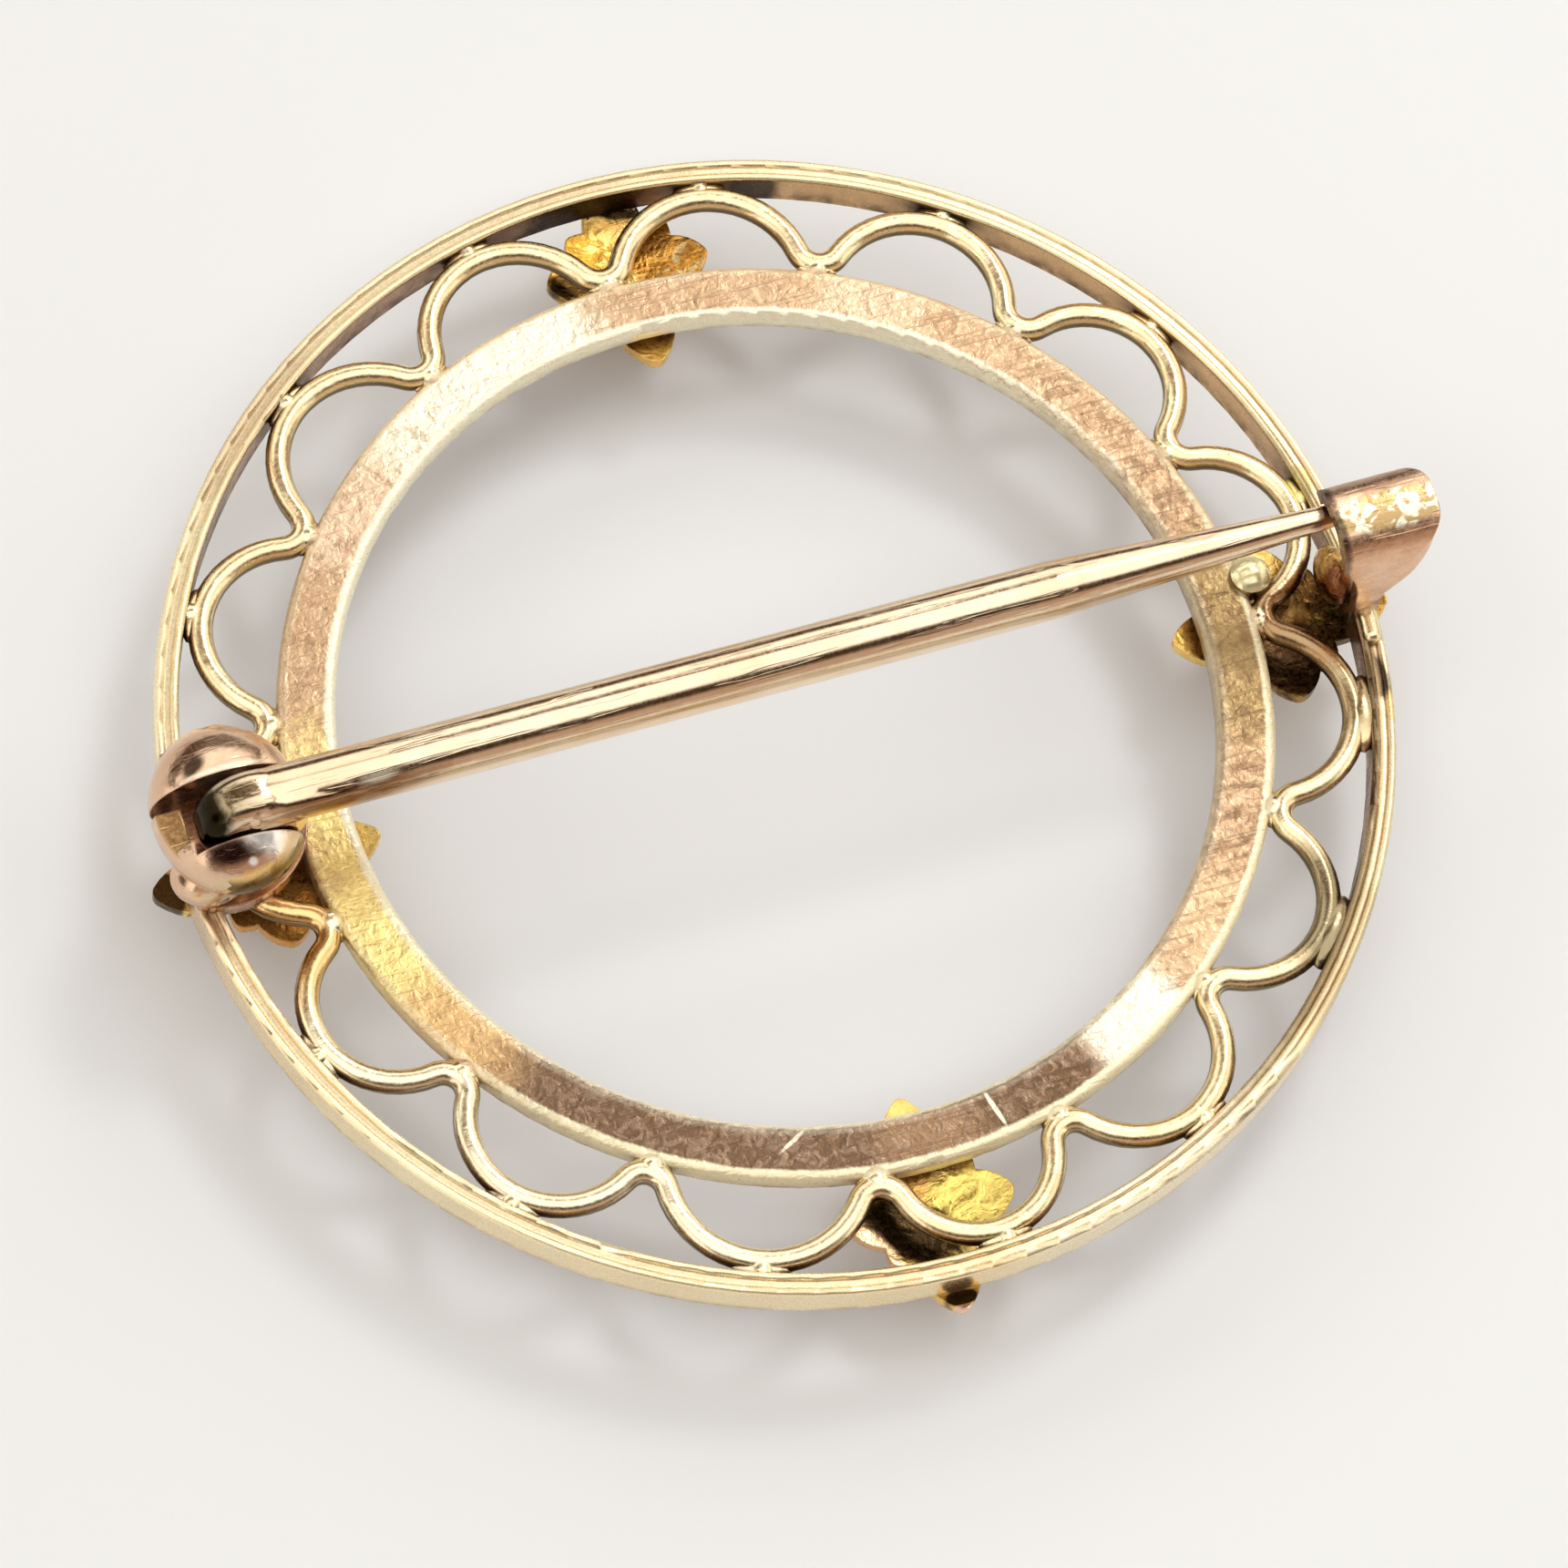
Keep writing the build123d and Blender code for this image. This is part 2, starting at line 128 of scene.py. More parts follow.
# fine lines: noise drawn out along a direction that wanders
def scratches(tree, place, turn, stretch, scale, low, high):
    turned = addNode(tree, "Mapping", Vector=place, Rotation=(0.0, 0.0, math.radians(turn)),
                     Scale=(stretch, 1.0, 1.0))
    lines = noise(tree, turned.outputs["Vector"], scale, detail=2.0, roughness=0.5, distortion=0.15)
    return smooth(tree, lines, low, high)


# patches of colour on the gold, many of them painted highlights, painted reflections and painted shade: ring
# arcs by angle, and spots as turned ellipsoids in millimetres
# amount is the cover, soft the width of the edge, matt the loss of mirror, broken the scale of its gaps
def spot(x, y, z, size, turn, colour, amount=1.0, soft=0.15, matt=0.0, broken=0.0):
    return {"at": (x, y, z), "size": size, "turn": turn, "colour": colour, "amount": amount,
            "soft": soft, "matt": matt, "broken": broken}


def ringSpot(angle, radius, side, z, size, turn, *rest):
    a = math.radians(angle)
    return spot(radius * math.cos(a) - side * math.sin(a), radius * math.sin(a) + side * math.cos(a), z,
                size, angle + turn, *rest)


def arc(angle, reach, colour, amount=1.0, soft=0.3, matt=0.0, broken=0.0):
    return {"angle": angle, "reach": reach, "colour": colour, "amount": amount,
            "soft": soft, "matt": matt, "broken": broken}


# how far a patch's outline wanders, and the noise values between which a broken one covers
patchOutline = {"arcWander": 0.5, "spotWander": 0.6, "brokenAt": (0.49, 0.58)}


def patchMask(tree, place, patch, ragged):
    if "angle" in patch:
        a = math.radians(patch["angle"])
        flat = addNode(tree, "VectorMath", {"operation": "MULTIPLY"}, _0=place, _1=(1.0, 1.0, 0.0)).outputs[0]
        way = addNode(tree, "VectorMath", {"operation": "NORMALIZE"}, _0=flat).outputs[0]
        near = addNode(tree, "VectorMath", {"operation": "DOT_PRODUCT"}, _0=way,
                       _1=(math.cos(a), math.sin(a), 0.0))
        angle = doMath(tree, "DEGREES", doMath(tree, "ARCCOSINE", near.outputs["Value"]))
        far = doMath(tree, "DIVIDE", angle, patch["reach"])
        wander = patchOutline["arcWander"]
    else:
        turned = addNode(tree, "Mapping", {"vector_type": "TEXTURE"}, Vector=place, Location=patch["at"],
                         Rotation=(0.0, 0.0, math.radians(patch["turn"])), Scale=patch["size"])
        far = addNode(tree, "VectorMath", {"operation": "LENGTH"}, _0=turned.outputs["Vector"]).outputs["Value"]
        wander = patchOutline["spotWander"]
    far = doMath(tree, "ADD", far, doMath(tree, "MULTIPLY", doMath(tree, "SUBTRACT", ragged, 0.5), wander))
    mask = smooth(tree, far, 1 + patch["soft"], 1 - patch["soft"], 0.0, patch["amount"])
    if patch["broken"]:
        bits = noise(tree, place, patch["broken"], detail=2.0, roughness=0.5, distortion=1.2)
        mask = doMath(tree, "MULTIPLY", mask, smooth(tree, bits, *patchOutline["brokenAt"]))
    return mask


black, amber, yellow = (0.022, 0.010, 0.006), (0.80, 0.36, 0.06), (1.00, 0.78, 0.20)
cream, butter = (1.00, 0.93, 0.72), (1.00, 0.88, 0.58)

# gold, from the mirror-bright stem to the satin band; lengths in millimetres, colours linear
# rough is (least, most), wrinkle and grain are (scale, height), depth is where the darker patches lower down
# (set in, are full)
goldLooks = {
    "bandGold": {
        "light": (0.63, 0.43, 0.265), "dark": (0.52, 0.335, 0.19), "shadeAndGrime": (0.25, 0.13, 0.06),
        "under": (0.36, 0.21, 0.11), "blotch": 1.6, "rough": (0.26, 0.44),
        "wrinkle": (4.2, 0.030), "grain": (11.0, 0.008),
        "scratch": 0.8, "speckle": 0.35, "crevice": 0.7, "depth": (-0.30, -0.60), "underFrom": -0.6,
        # the solid arcs are painted reflections and painted shade around the band, the bright ones light and
        # the dark ones shade; the broken arcs are mottling, the last two spots scratches
        "patches": [
            arc(113, 17, cream, 0.92, 0.22), arc(60, 7, (0.80, 0.58, 0.38), 0.7),
            arc(136, 9, (0.84, 0.62, 0.42), 0.7), arc(186, 19, (1.00, 0.82, 0.31), 0.82),
            arc(211, 9, (0.72, 0.46, 0.20), 0.7), arc(299, 7, cream, 0.95, 0.25),
            arc(317, 6, (0.74, 0.50, 0.29), 0.6), arc(354, 14, (0.33, 0.235, 0.085), 0.75),
            arc(243, 26, (0.155, 0.092, 0.055), 0.92, 0.2), arc(270, 7, (0.30, 0.18, 0.10), 0.9),
            arc(284, 9, (0.14, 0.08, 0.045), 0.92), arc(258, 38, (0.36, 0.25, 0.17), 0.5, 0.3, 0.0, 4.2),
            arc(352, 34, (0.24, 0.14, 0.075), 0.5, 0.4, 0.0, 2.8),
            arc(24, 16, (0.26, 0.16, 0.09), 0.55, 0.4, 0.0, 2.4),
            arc(170, 20, (0.62, 0.40, 0.22), 0.45, 0.3, 0.0, 2.2),
            # two long scratches
            spot(1.305, -8.95, -0.1, (0.045, 0.40, 0.2), 14.5, cream, 0.8, 0.3),
            spot(-2.60, -8.476, -0.1, (0.04, 0.34, 0.2), -62.0, cream, 0.7, 0.3)]},
    "rimGold": {
        "light": (1.00, 0.87, 0.56), "dark": (0.98, 0.75, 0.45), "shadeAndGrime": (0.26, 0.14, 0.06),
        "under": (0.78, 0.49, 0.33), "blotch": 0.8, "rough": (0.25, 0.30),
        "wrinkle": (1.3, 0.006), "grain": (12.0, 0.0002),
        "scratch": 0.1, "speckle": 0.0, "crevice": 0.75, "depth": (-0.60, -0.90), "underFrom": 0.05,
        # the butter and cream arcs and the yellow and orange spots by the catch are painted highlights; the
        # black spot beside the catch is a painted shadow
        "patches": [
            arc(48, 22, butter, 0.6, 0.4, 0.35), arc(140, 46, butter, 0.6, 0.3, 0.36),
            arc(232, 28, butter, 0.6, 0.4, 0.25), arc(290, 14, cream, 0.5, 0.4, 0.25),
            arc(180, 8, (0.62, 0.40, 0.26), 0.6), arc(132, 9, (0.72, 0.52, 0.32), 0.5),
            arc(318, 8, (0.46, 0.32, 0.16), 0.5),
            spot(11.43, 1.81, 0.0, (0.25, 0.40, 0.3), 0, (1.0, 0.84, 0.28), 0.95, 0.3, 0.6),
            spot(11.45, -2.5, -0.05, (0.22, 0.55, 0.3), 0, black, 0.92, 0.25),
            spot(11.62, -3.3, 0.0, (0.30, 0.35, 0.3), 0, (1.0, 0.66, 0.28), 0.8, 0.35, 0.4),
            spot(11.55, -1.55, 0.05, (0.30, 0.45, 0.3), 0, (0.85, 0.55, 0.36), 0.8, 0.3, 0.2)]},
    # painted shade: the rim's inner wall is a darker copy of the rim gold; its black arcs are painted shadow,
    # its orange arc a painted warm reflection
    "rimInsideShade": {
        "light": (0.66, 0.43, 0.28), "dark": (0.26, 0.14, 0.08), "shadeAndGrime": black, "under": (0.30, 0.17, 0.10),
        "blotch": 0.9, "rough": (0.22, 0.38), "wrinkle": (1.6, 0.012), "grain": (12.0, 0.0015),
        "scratch": 0.2, "crevice": 0.9, "depth": (-0.20, -0.80), "underFrom": -0.6,
        "patches": [arc(46, 34, (1.00, 0.66, 0.33), 0.8, 0.4, 0.3), arc(91, 6, black, 0.95),
                    arc(74, 2.5, black, 0.9), arc(55, 3, black, 0.8), arc(318, 12, (0.06, 0.05, 0.035), 0.8)]},
    "wireGold": {
        "light": (1.00, 0.88, 0.56), "dark": (0.98, 0.74, 0.42), "shadeAndGrime": (0.13, 0.07, 0.025),
        "under": (0.085, 0.055, 0.02), "blotch": 1.5, "rough": (0.19, 0.28),
        "wrinkle": (2.0, 0.016), "grain": (14.0, 0.0006),
        "scratch": 0.1, "speckle": 0.1, "crevice": 0.95, "depth": (-0.34, -0.56),
        "underFrom": 0.55, "underSoft": 0.30,
        # painted shade: the wire's sides and undersides go near black; the cream arc and the yellow spot at the
        # peak by the catch are painted highlights
        "patches": [arc(322, 6, (0.26, 0.21, 0.12), 0.85), arc(346, 4, (0.42, 0.30, 0.15), 0.75),
                    arc(226, 30, cream, 0.5, 0.4), arc(354, 5, (0.30, 0.15, 0.06), 0.8),
                    arc(189, 8, (0.98, 0.64, 0.25), 0.8, 0.4),
                    spot(11.43, 1.81, 0.0, (0.30, 0.40, 0.4), 0, (1.0, 0.84, 0.28), 0.95, 0.3, 0.6)]},
    "leafGold": {
        "light": (1.00, 0.74, 0.24), "dark": (0.84, 0.46, 0.12), "shadeAndGrime": (0.06, 0.03, 0.015),
        "under": (0.60, 0.36, 0.14), "blotch": 1.3, "rough": (0.20, 0.38),
        "wrinkle": (2.2, 0.05), "grain": (11.0, 0.004),
        "scratch": 0.2, "crevice": 0.5, "depth": (-1.30, -2.10), "underFrom": 0.0,
        # painted light in the clusters: the black and near-black spots are painted shadow under the rim and the
        # catch, the cream and yellow streaks and the peach edge and tip are painted light; the amber and brown
        # spots set the lobes' tone
        "patches": [
            # bottom cluster
            ringSpot(268, 10.35, 0.75, -0.9, (0.75, 0.95, 0.6), 0, yellow, 0.9),
            ringSpot(268, 10.55, -0.45, -0.9, (0.62, 1.05, 0.6), -28, black, 0.97),
            ringSpot(268, 10.75, -1.25, -0.9, (0.75, 0.26, 0.6), 30, (0.95, 0.62, 0.34), 0.95, 0.2),
            ringSpot(268, 12.15, 0.0, -0.75, (0.17, 0.34, 0.5), 0, black, 0.97),
            ringSpot(268, 12.45, 0.0, -0.8, (0.14, 0.4, 0.6), 0, (0.95, 0.66, 0.56), 0.9),
            # top cluster
            ringSpot(88, 10.55, -1.0, -0.9, (0.9, 0.9, 0.6), 0, (0.85, 0.40, 0.07), 0.9),
            ringSpot(88, 10.7, 0.95, -0.9, (0.9, 0.9, 0.6), 0, (0.46, 0.24, 0.03), 0.95, 0.3),
            ringSpot(88, 10.95, 0.35, -0.9, (0.4, 0.3, 0.6), 0, (1.0, 0.70, 0.22), 0.8, 0.4, 0.0, 2.2),
            ringSpot(88, 10.2, -1.1, -0.9, (0.4, 0.5, 0.6), 20, (1.0, 0.82, 0.40), 0.8, 0.4, 0.0, 3.0),
            ringSpot(88, 11.75, -0.4, -0.9, (0.42, 0.8, 0.6), 0, black, 0.95),
            ringSpot(88, 10.2, 1.15, -0.9, (0.32, 0.5, 0.6), 0, black, 0.9),
            # right cluster
            ringSpot(-3.5, 10.35, -0.75, -0.9, (0.75, 0.95, 0.6), 0, (0.06, 0.025, 0.014), 0.95),
            ringSpot(-3.5, 10.9, -1.0, -0.9, (0.30, 0.5, 0.6), 20, black, 0.9),
            ringSpot(-3.5, 10.6, 0.6, -0.9, (0.8, 0.6, 0.6), 0, (0.45, 0.24, 0.07), 0.7),
            ringSpot(-3.5, 11.2, 0.6, -0.9, (0.5, 0.6, 0.6), 0, (0.17, 0.075, 0.02), 0.9, 0.3),
            ringSpot(-3.5, 11.4, -0.45, -0.9, (0.5, 0.5, 0.6), 0, (0.06, 0.025, 0.01), 0.92, 0.3),
            # left cluster
            ringSpot(180.5, 12.3, 0.05, -0.7, (0.34, 0.45, 0.6), 0, (0.05, 0.026, 0.014), 0.95),
            ringSpot(180.5, 10.6, 1.0, -0.9, (1.0, 0.8, 0.6), 0, amber, 0.8, 0.15, 0.3)]},
    "hingeGold": {
        "light": (0.84, 0.60, 0.42), "dark": (0.70, 0.45, 0.29), "shadeAndGrime": (0.13, 0.06, 0.035),
        "under": (0.48, 0.29, 0.18), "blotch": 0.8, "rough": (0.13, 0.24),
        "wrinkle": (1.2, 0.018), "grain": (12.0, 0.0010),
        "scratch": 0.3, "crevice": 0.9, "depth": (0.20, -0.20), "underFrom": -0.1,
        # all painted light on the ears and the stop wall: the near-black spots are painted dark reflections,
        # the white and cream spots and lines painted highlights, the tan and orange spots painted light
        "patches": [
            spot(-11.55, 1.02, 2.2, (0.27, 0.16, 0.5), 38, (0.035, 0.018, 0.01), 0.95, 0.4),
            spot(-10.76, 1.34, 2.2, (0.50, 0.30, 0.5), 0, (0.90, 0.66, 0.46), 0.6, 0.5, 0.2),
            spot(-10.95, 2.05, 1.75, (0.62, 0.10, 0.5), 0, cream, 0.8, 0.4, 0.6),
            spot(-10.95, 0.80, 2.15, (0.75, 0.07, 0.5), 0, cream, 0.85, 0.4, 0.6),
            spot(-11.38, -0.76, 2.05, (0.42, 0.25, 0.4), 8, (0.10, 0.042, 0.032), 0.95, 0.45),
            spot(-10.52, -0.74, 2.0, (0.50, 0.22, 0.4), -12, (1.0, 0.98, 0.93), 1.0, 0.55, 0.45),
            spot(-10.97, -1.00, 1.9, (0.085, 0.07, 0.2), 0, (1.0, 0.98, 0.94), 1.0, 0.5, 0.6),
            spot(-10.05, -0.95, 1.6, (0.40, 0.40, 0.6), 0, (1.0, 0.72, 0.38), 0.8, 0.4, 0.2),
            spot(-12.2, 0.2, 1.6, (0.35, 0.62, 0.06), 0, (0.66, 0.40, 0.17), 0.95, 0.2, 0.25)]},
    "catchGold": {
        "light": (0.90, 0.60, 0.40), "dark": (0.74, 0.44, 0.27), "shadeAndGrime": (0.16, 0.08, 0.04),
        "under": (0.30, 0.17, 0.10), "blotch": 1.4, "rough": (0.22, 0.36),
        "wrinkle": (3.4, 0.016), "grain": (10.0, 0.005),
        "scratch": 0.8, "crevice": 0.9, "depth": (1.20, 0.10), "underFrom": -0.2,
        # the cream flecks on the top are painted glints, over an olive spot that darkens the top; the
        # brown-grey strip along the far edge and the near-black spot at the mouth are painted shade
        "patches": [
            spot(11.95, -0.42, 2.9, (1.20, 0.40, 0.3), 0, (0.50, 0.34, 0.15), 0.95, 0.15),
            spot(11.95, -0.42, 2.9, (1.20, 0.42, 0.3), 0, cream, 1.0, 0.2, 0.3, 2.6),
            spot(11.9, 0.28, 2.85, (1.4, 0.24, 0.5), 0, (0.40, 0.26, 0.18), 0.75),
            spot(10.93, -0.3, 2.3, (0.12, 1.0, 0.9), 0, (0.05, 0.03, 0.015), 0.9, 0.4)]},
    "lumpGold": {
        "light": (0.80, 0.50, 0.17), "dark": (0.20, 0.085, 0.03), "shadeAndGrime": black, "under": (0.14, 0.06, 0.03),
        "blotch": 2.4, "rough": (0.18, 0.34), "wrinkle": (3.2, 0.05), "grain": (12.0, 0.003),
        "scratch": 0.2, "crevice": 0.9, "depth": (0.30, -0.30), "underFrom": 0.2,
        # the dark spot is painted shade under the catch
        "patches": [spot(11.15, -0.75, 0.5, (0.40, 0.35, 0.6), 0, (0.20, 0.06, 0.03), 0.85, 0.4)]},
    "solderGold": {
        "light": (1.00, 0.92, 0.62), "dark": (0.96, 0.80, 0.48), "shadeAndGrime": (0.25, 0.14, 0.05),
        "under": (0.30, 0.20, 0.08), "blotch": 2.0, "rough": (0.16, 0.28),
        "wrinkle": (2.2, 0.02), "grain": (12.0, 0.0010),
        "scratch": 0.1, "crevice": 0.7, "depth": (-0.45, -0.70), "underFrom": 0.35,
        # the bright spots on the mound and at the peak by the catch are painted highlights
        "patches": [spot(9.80, 0.20, 0.2, (0.42, 0.42, 0.5), 0, (1.0, 0.93, 0.56), 0.95, 0.25, 0.42),
                    spot(11.43, 1.81, 0.0, (0.30, 0.40, 0.4), 0, (1.0, 0.84, 0.28), 0.95, 0.3, 0.6)]},
    "stemGold": {
        "light": (0.97, 0.80, 0.58), "dark": (0.88, 0.66, 0.44), "shadeAndGrime": (0.14, 0.07, 0.035),
        "under": (0.68, 0.45, 0.31), "blotch": 0.6, "rough": (0.10, 0.20),
        "wrinkle": (0.9, 0.010), "grain": (14.0, 0.0008),
        "scratch": 0.4, "crevice": 0.8, "depth": (-9.0, -10.0), "underFrom": -0.1,
        # painted shade and highlight by the hinge: the olive knuckle, the black gap beside it and the brown
        # line along the lap are painted shade, the cream spot on the lap a painted highlight
        "patches": [
            spot(-11.15, 0.00, 2.6, (0.50, 0.45, 0.5), 0, (0.40, 0.32, 0.18), 0.85, 0.5),
            spot(-11.74, -0.22, 2.2, (0.52, 0.85, 0.95), 0, (0.020, 0.014, 0.006), 1.0, 0.25),
            spot(-8.85, -0.50, 2.6, (1.6, 0.14, 0.4), 2, (0.34, 0.17, 0.075), 0.85, 0.5),
            spot(-8.35, -0.34, 2.76, (0.34, 0.09, 0.3), 2, cream, 0.95, 0.55, 0.35)]},
}


# what all golds share: a name in At is the two values between which an effect grows from none to full,
# noise scales are per millimetre, and lengths are in millimetres
goldDetail = {
    "blotchAt": (0.30, 0.72),
    "speckleAt": (0.52, 0.68),
    "speckle": 0.2,
    "ragged": 2.6,
    "underSoft": 0.45,
    "underAmount": 0.85,
    # scratches as (turn in degrees, stretch, scale, the two values between which they show)
    "scratches": [(25.0, 0.05, 9.0, 0.60, 0.66), (-50.0, 0.05, 7.0, 0.61, 0.67)],
    "scratchDepth": 0.006,
    "scratchRough": 0.10,
    "creviceReach": 0.45,
    "creviceAt": (0.75, 0.15),
    "deepAmount": 0.75,
    "lowPatches": 1.9,
    "lowPatchesAt": (0.30, 0.65),
    "shadeAndGrimeRough": 0.18,
    "roughAt": (0.35, 0.65),
    "edgeRadius": 0.05,
    "samples": 4,
}


def makeGold(name):
    look, shared = goldLooks[name], goldDetail
    mat, tree = freshMaterial(name)
    place = ringPlace(tree)
    height = addNode(tree, "SeparateXYZ", Vector=place).outputs["Z"]
    facing = addNode(tree, "SeparateXYZ", Vector=addNode(tree, "NewGeometry").outputs["Normal"]).outputs["Z"]
    clouds = noise(tree, place, look["blotch"], detail=5.0, roughness=0.6, distortion=0.4)
    colour = blend(tree, smooth(tree, clouds, *shared["blotchAt"]), look["light"], look["dark"])
    grain = noise(tree, place, look["grain"][0], detail=6.0, roughness=0.65)
    speckle = smooth(tree, grain, *shared["speckleAt"], 0.0, look.get("speckle", shared["speckle"]))
    colour = blend(tree, speckle, colour, look["dark"])
    ragged = noise(tree, place, shared["ragged"], detail=4.0, roughness=0.65)
    matt = 0.0
    for patch in look["patches"]:
        mask = patchMask(tree, place, patch, ragged)
        colour = blend(tree, mask, colour, patch["colour"])
        if patch["matt"]:
            matt = doMath(tree, "MAXIMUM", matt, doMath(tree, "MULTIPLY", mask, patch["matt"]))
    if name == "bandGold":
        colour = markBand(tree, place, colour, ragged)
        # painted highlights on the band's worn edges
        colour, matt = wearAndHighlightBandEdges(tree, place, colour, ragged)
    if name == "rimGold":
        colour = tarnishRim(tree, place, colour, ragged)
    # painted shade: sides and undersides are darker than what faces up
    low = look["underFrom"] - look.get("underSoft", shared["underSoft"])
    side = smooth(tree, facing, look["underFrom"], low, 0.0, shared["underAmount"])
    colour = blend(tree, side, colour, look["under"])
    lines = doMath(tree, "MAXIMUM", *(scratches(tree, place, *kind) for kind in shared["scratches"]))
    # painted shade and grime gather in crevices, found by occlusion, and patches lower down are darker
    openness = addNode(tree, "AmbientOcclusion", {"samples": shared["samples"]},
                       Distance=shared["creviceReach"] * mm).outputs["AO"]
    crevice = doMath(tree, "MULTIPLY", smooth(tree, openness, *shared["creviceAt"]), look["crevice"])
    deep = smooth(tree, height, look["depth"][1], look["depth"][0], shared["deepAmount"], 0.0)
    lowPatches = smooth(tree, noise(tree, place, shared["lowPatches"], detail=4.0, roughness=0.6), *shared["lowPatchesAt"])
    shadeAndGrime = doMath(tree, "MAXIMUM", crevice, doMath(tree, "MULTIPLY", deep, lowPatches))
    colour = blend(tree, shadeAndGrime, colour, look["shadeAndGrime"])
    rough = smooth(tree, grain, *shared["roughAt"], *look["rough"])
    rough = doMath(tree, "ADD", rough, doMath(tree, "MULTIPLY", shadeAndGrime, shared["shadeAndGrimeRough"]))
    scored = doMath(tree, "MULTIPLY", lines, shared["scratchRough"] * look["scratch"])
    rough = doMath(tree, "ADD", rough, scored)
    # worn edges are rounded, then come waves, scratches and grain
    edge = addNode(tree, "Bevel", {"samples": shared["samples"]}, Radius=shared["edgeRadius"] * mm)
    wave = noise(tree, place, look["wrinkle"][0], detail=3.0, roughness=0.5, distortion=0.6)
    bump = addNode(tree, "Bump", Strength=1.0, Distance=look["wrinkle"][1] * mm, Height=wave,
                   Normal=edge.outputs["Normal"])
    bump = addNode(tree, "Bump", {"invert": True}, Strength=look["scratch"],
                   Distance=shared["scratchDepth"] * mm, Height=lines, Normal=bump.outputs["Normal"])
    bump = addNode(tree, "Bump", Strength=1.0, Distance=look["grain"][1] * mm, Height=grain,
                   Normal=bump.outputs["Normal"])
    mirror = 1.0 if isinstance(matt, float) else doMath(tree, "SUBTRACT", 1.0, matt)
    body = addNode(tree, "BsdfPrincipled", Base_Color=colour, Metallic=mirror, Roughness=rough,
                   Normal=bump.outputs["Normal"])
    addNode(tree, "OutputMaterial", Surface=body.outputs["BSDF"])
    return mat


# file marks that cross the band; slant in millimetres along the band for each across it
bandMarks = [
    {"arc": (143, 26), "slant": 0.0, "across": 0.30, "scale": 3.6,
     "colour": (0.42, 0.26, 0.15), "amount": 0.5, "at": (0.53, 0.63)},
    {"arc": (338, 36), "slant": -0.5, "across": 0.85, "scale": 3.2,
     "colour": (0.20, 0.12, 0.065), "amount": 0.5, "at": (0.53, 0.63)},
]
bandMiddle = 9.1     # radius of the band's middle line in millimetres


def markBand(tree, place, colour, ragged):
    flat = addNode(tree, "SeparateXYZ", Vector=place).outputs
    radius = ringRadius(tree, place)
    along = doMath(tree, "MULTIPLY", doMath(tree, "ARCTAN2", flat["Y"], flat["X"]), bandMiddle)
    for marks in bandMarks:
        slanted = doMath(tree, "ADD", along, doMath(tree, "MULTIPLY", radius, marks["slant"]))
        narrowed = doMath(tree, "MULTIPLY", radius, marks["across"])
        spread = addNode(tree, "CombineXYZ", X=narrowed, Y=slanted).outputs["Vector"]
        filed = noise(tree, spread, marks["scale"], detail=2.0, roughness=0.5, distortion=0.5)
        lines = smooth(tree, filed, *marks["at"])
        here = patchMask(tree, place, arc(*marks["arc"], None, marks["amount"]), ragged)
        colour = blend(tree, doMath(tree, "MULTIPLY", lines, here), colour, marks["colour"])
    return colour


# painted highlights on the band's worn edges, on part of the ring; radii in millimetres
bandEdges = [
    {"from": 8.79, "to": 8.70, "colour": (1.00, 0.95, 0.72), "arc": (118, 82), "amount": 1.0, "rest": 0.15},
    {"from": 8.66, "to": 8.58, "colour": (1.00, 0.92, 0.68), "arc": (245, 48), "amount": 0.95, "rest": 0.25},
    {"from": 9.42, "to": 9.50, "colour": (1.00, 0.91, 0.62), "arc": (290, 72), "amount": 0.95, "rest": 0.2},
    {"from": 9.52, "to": 9.57, "colour": (0.96, 0.74, 0.46), "arc": (60, 70), "amount": 0.8, "rest": 0.2},
]
bandEdgeHighlight = {"wander": 0.10, "matt": 0.6}


def ringRadius(tree, place):
    flat = addNode(tree, "VectorMath", {"operation": "MULTIPLY"}, _0=place, _1=(1.0, 1.0, 0.0)).outputs[0]
    return addNode(tree, "VectorMath", {"operation": "LENGTH"}, _0=flat).outputs["Value"]


def wearAndHighlightBandEdges(tree, place, colour, ragged):
    radius = ringRadius(tree, place)
    wander = doMath(tree, "MULTIPLY", doMath(tree, "SUBTRACT", ragged, 0.5), bandEdgeHighlight["wander"])
    off = doMath(tree, "ADD", radius, wander)
    matt = 0.0
    for edge in bandEdges:
        wornHighlight = smooth(tree, off, edge["from"], edge["to"])
        here = patchMask(tree, place, arc(*edge["arc"], None, edge["amount"] - edge["rest"]), ragged)
        wornHighlight = doMath(tree, "MULTIPLY", wornHighlight, doMath(tree, "ADD", here, edge["rest"]))
        colour = blend(tree, wornHighlight, colour, edge["colour"])
        matt = doMath(tree, "MAXIMUM", matt, doMath(tree, "MULTIPLY", wornHighlight, bandEdgeHighlight["matt"]))
    return colour, matt


# the rim's inner bead is tarnished on the right; radii in millimetres
rimTarnish = {"from": 11.80, "to": 11.72, "arc": (338, 38), "colour": (0.27, 0.19, 0.10), "amount": 0.85}


def tarnishRim(tree, place, colour, ragged):
    inner = smooth(tree, ringRadius(tree, place), rimTarnish["from"], rimTarnish["to"])
    here = patchMask(tree, place, arc(*rimTarnish["arc"], None, rimTarnish["amount"]), ragged)
    return blend(tree, doMath(tree, "MULTIPLY", inner, here), colour, rimTarnish["colour"])


golds = {name: makeGold(name) for name in goldLooks}
print("gold materials made")


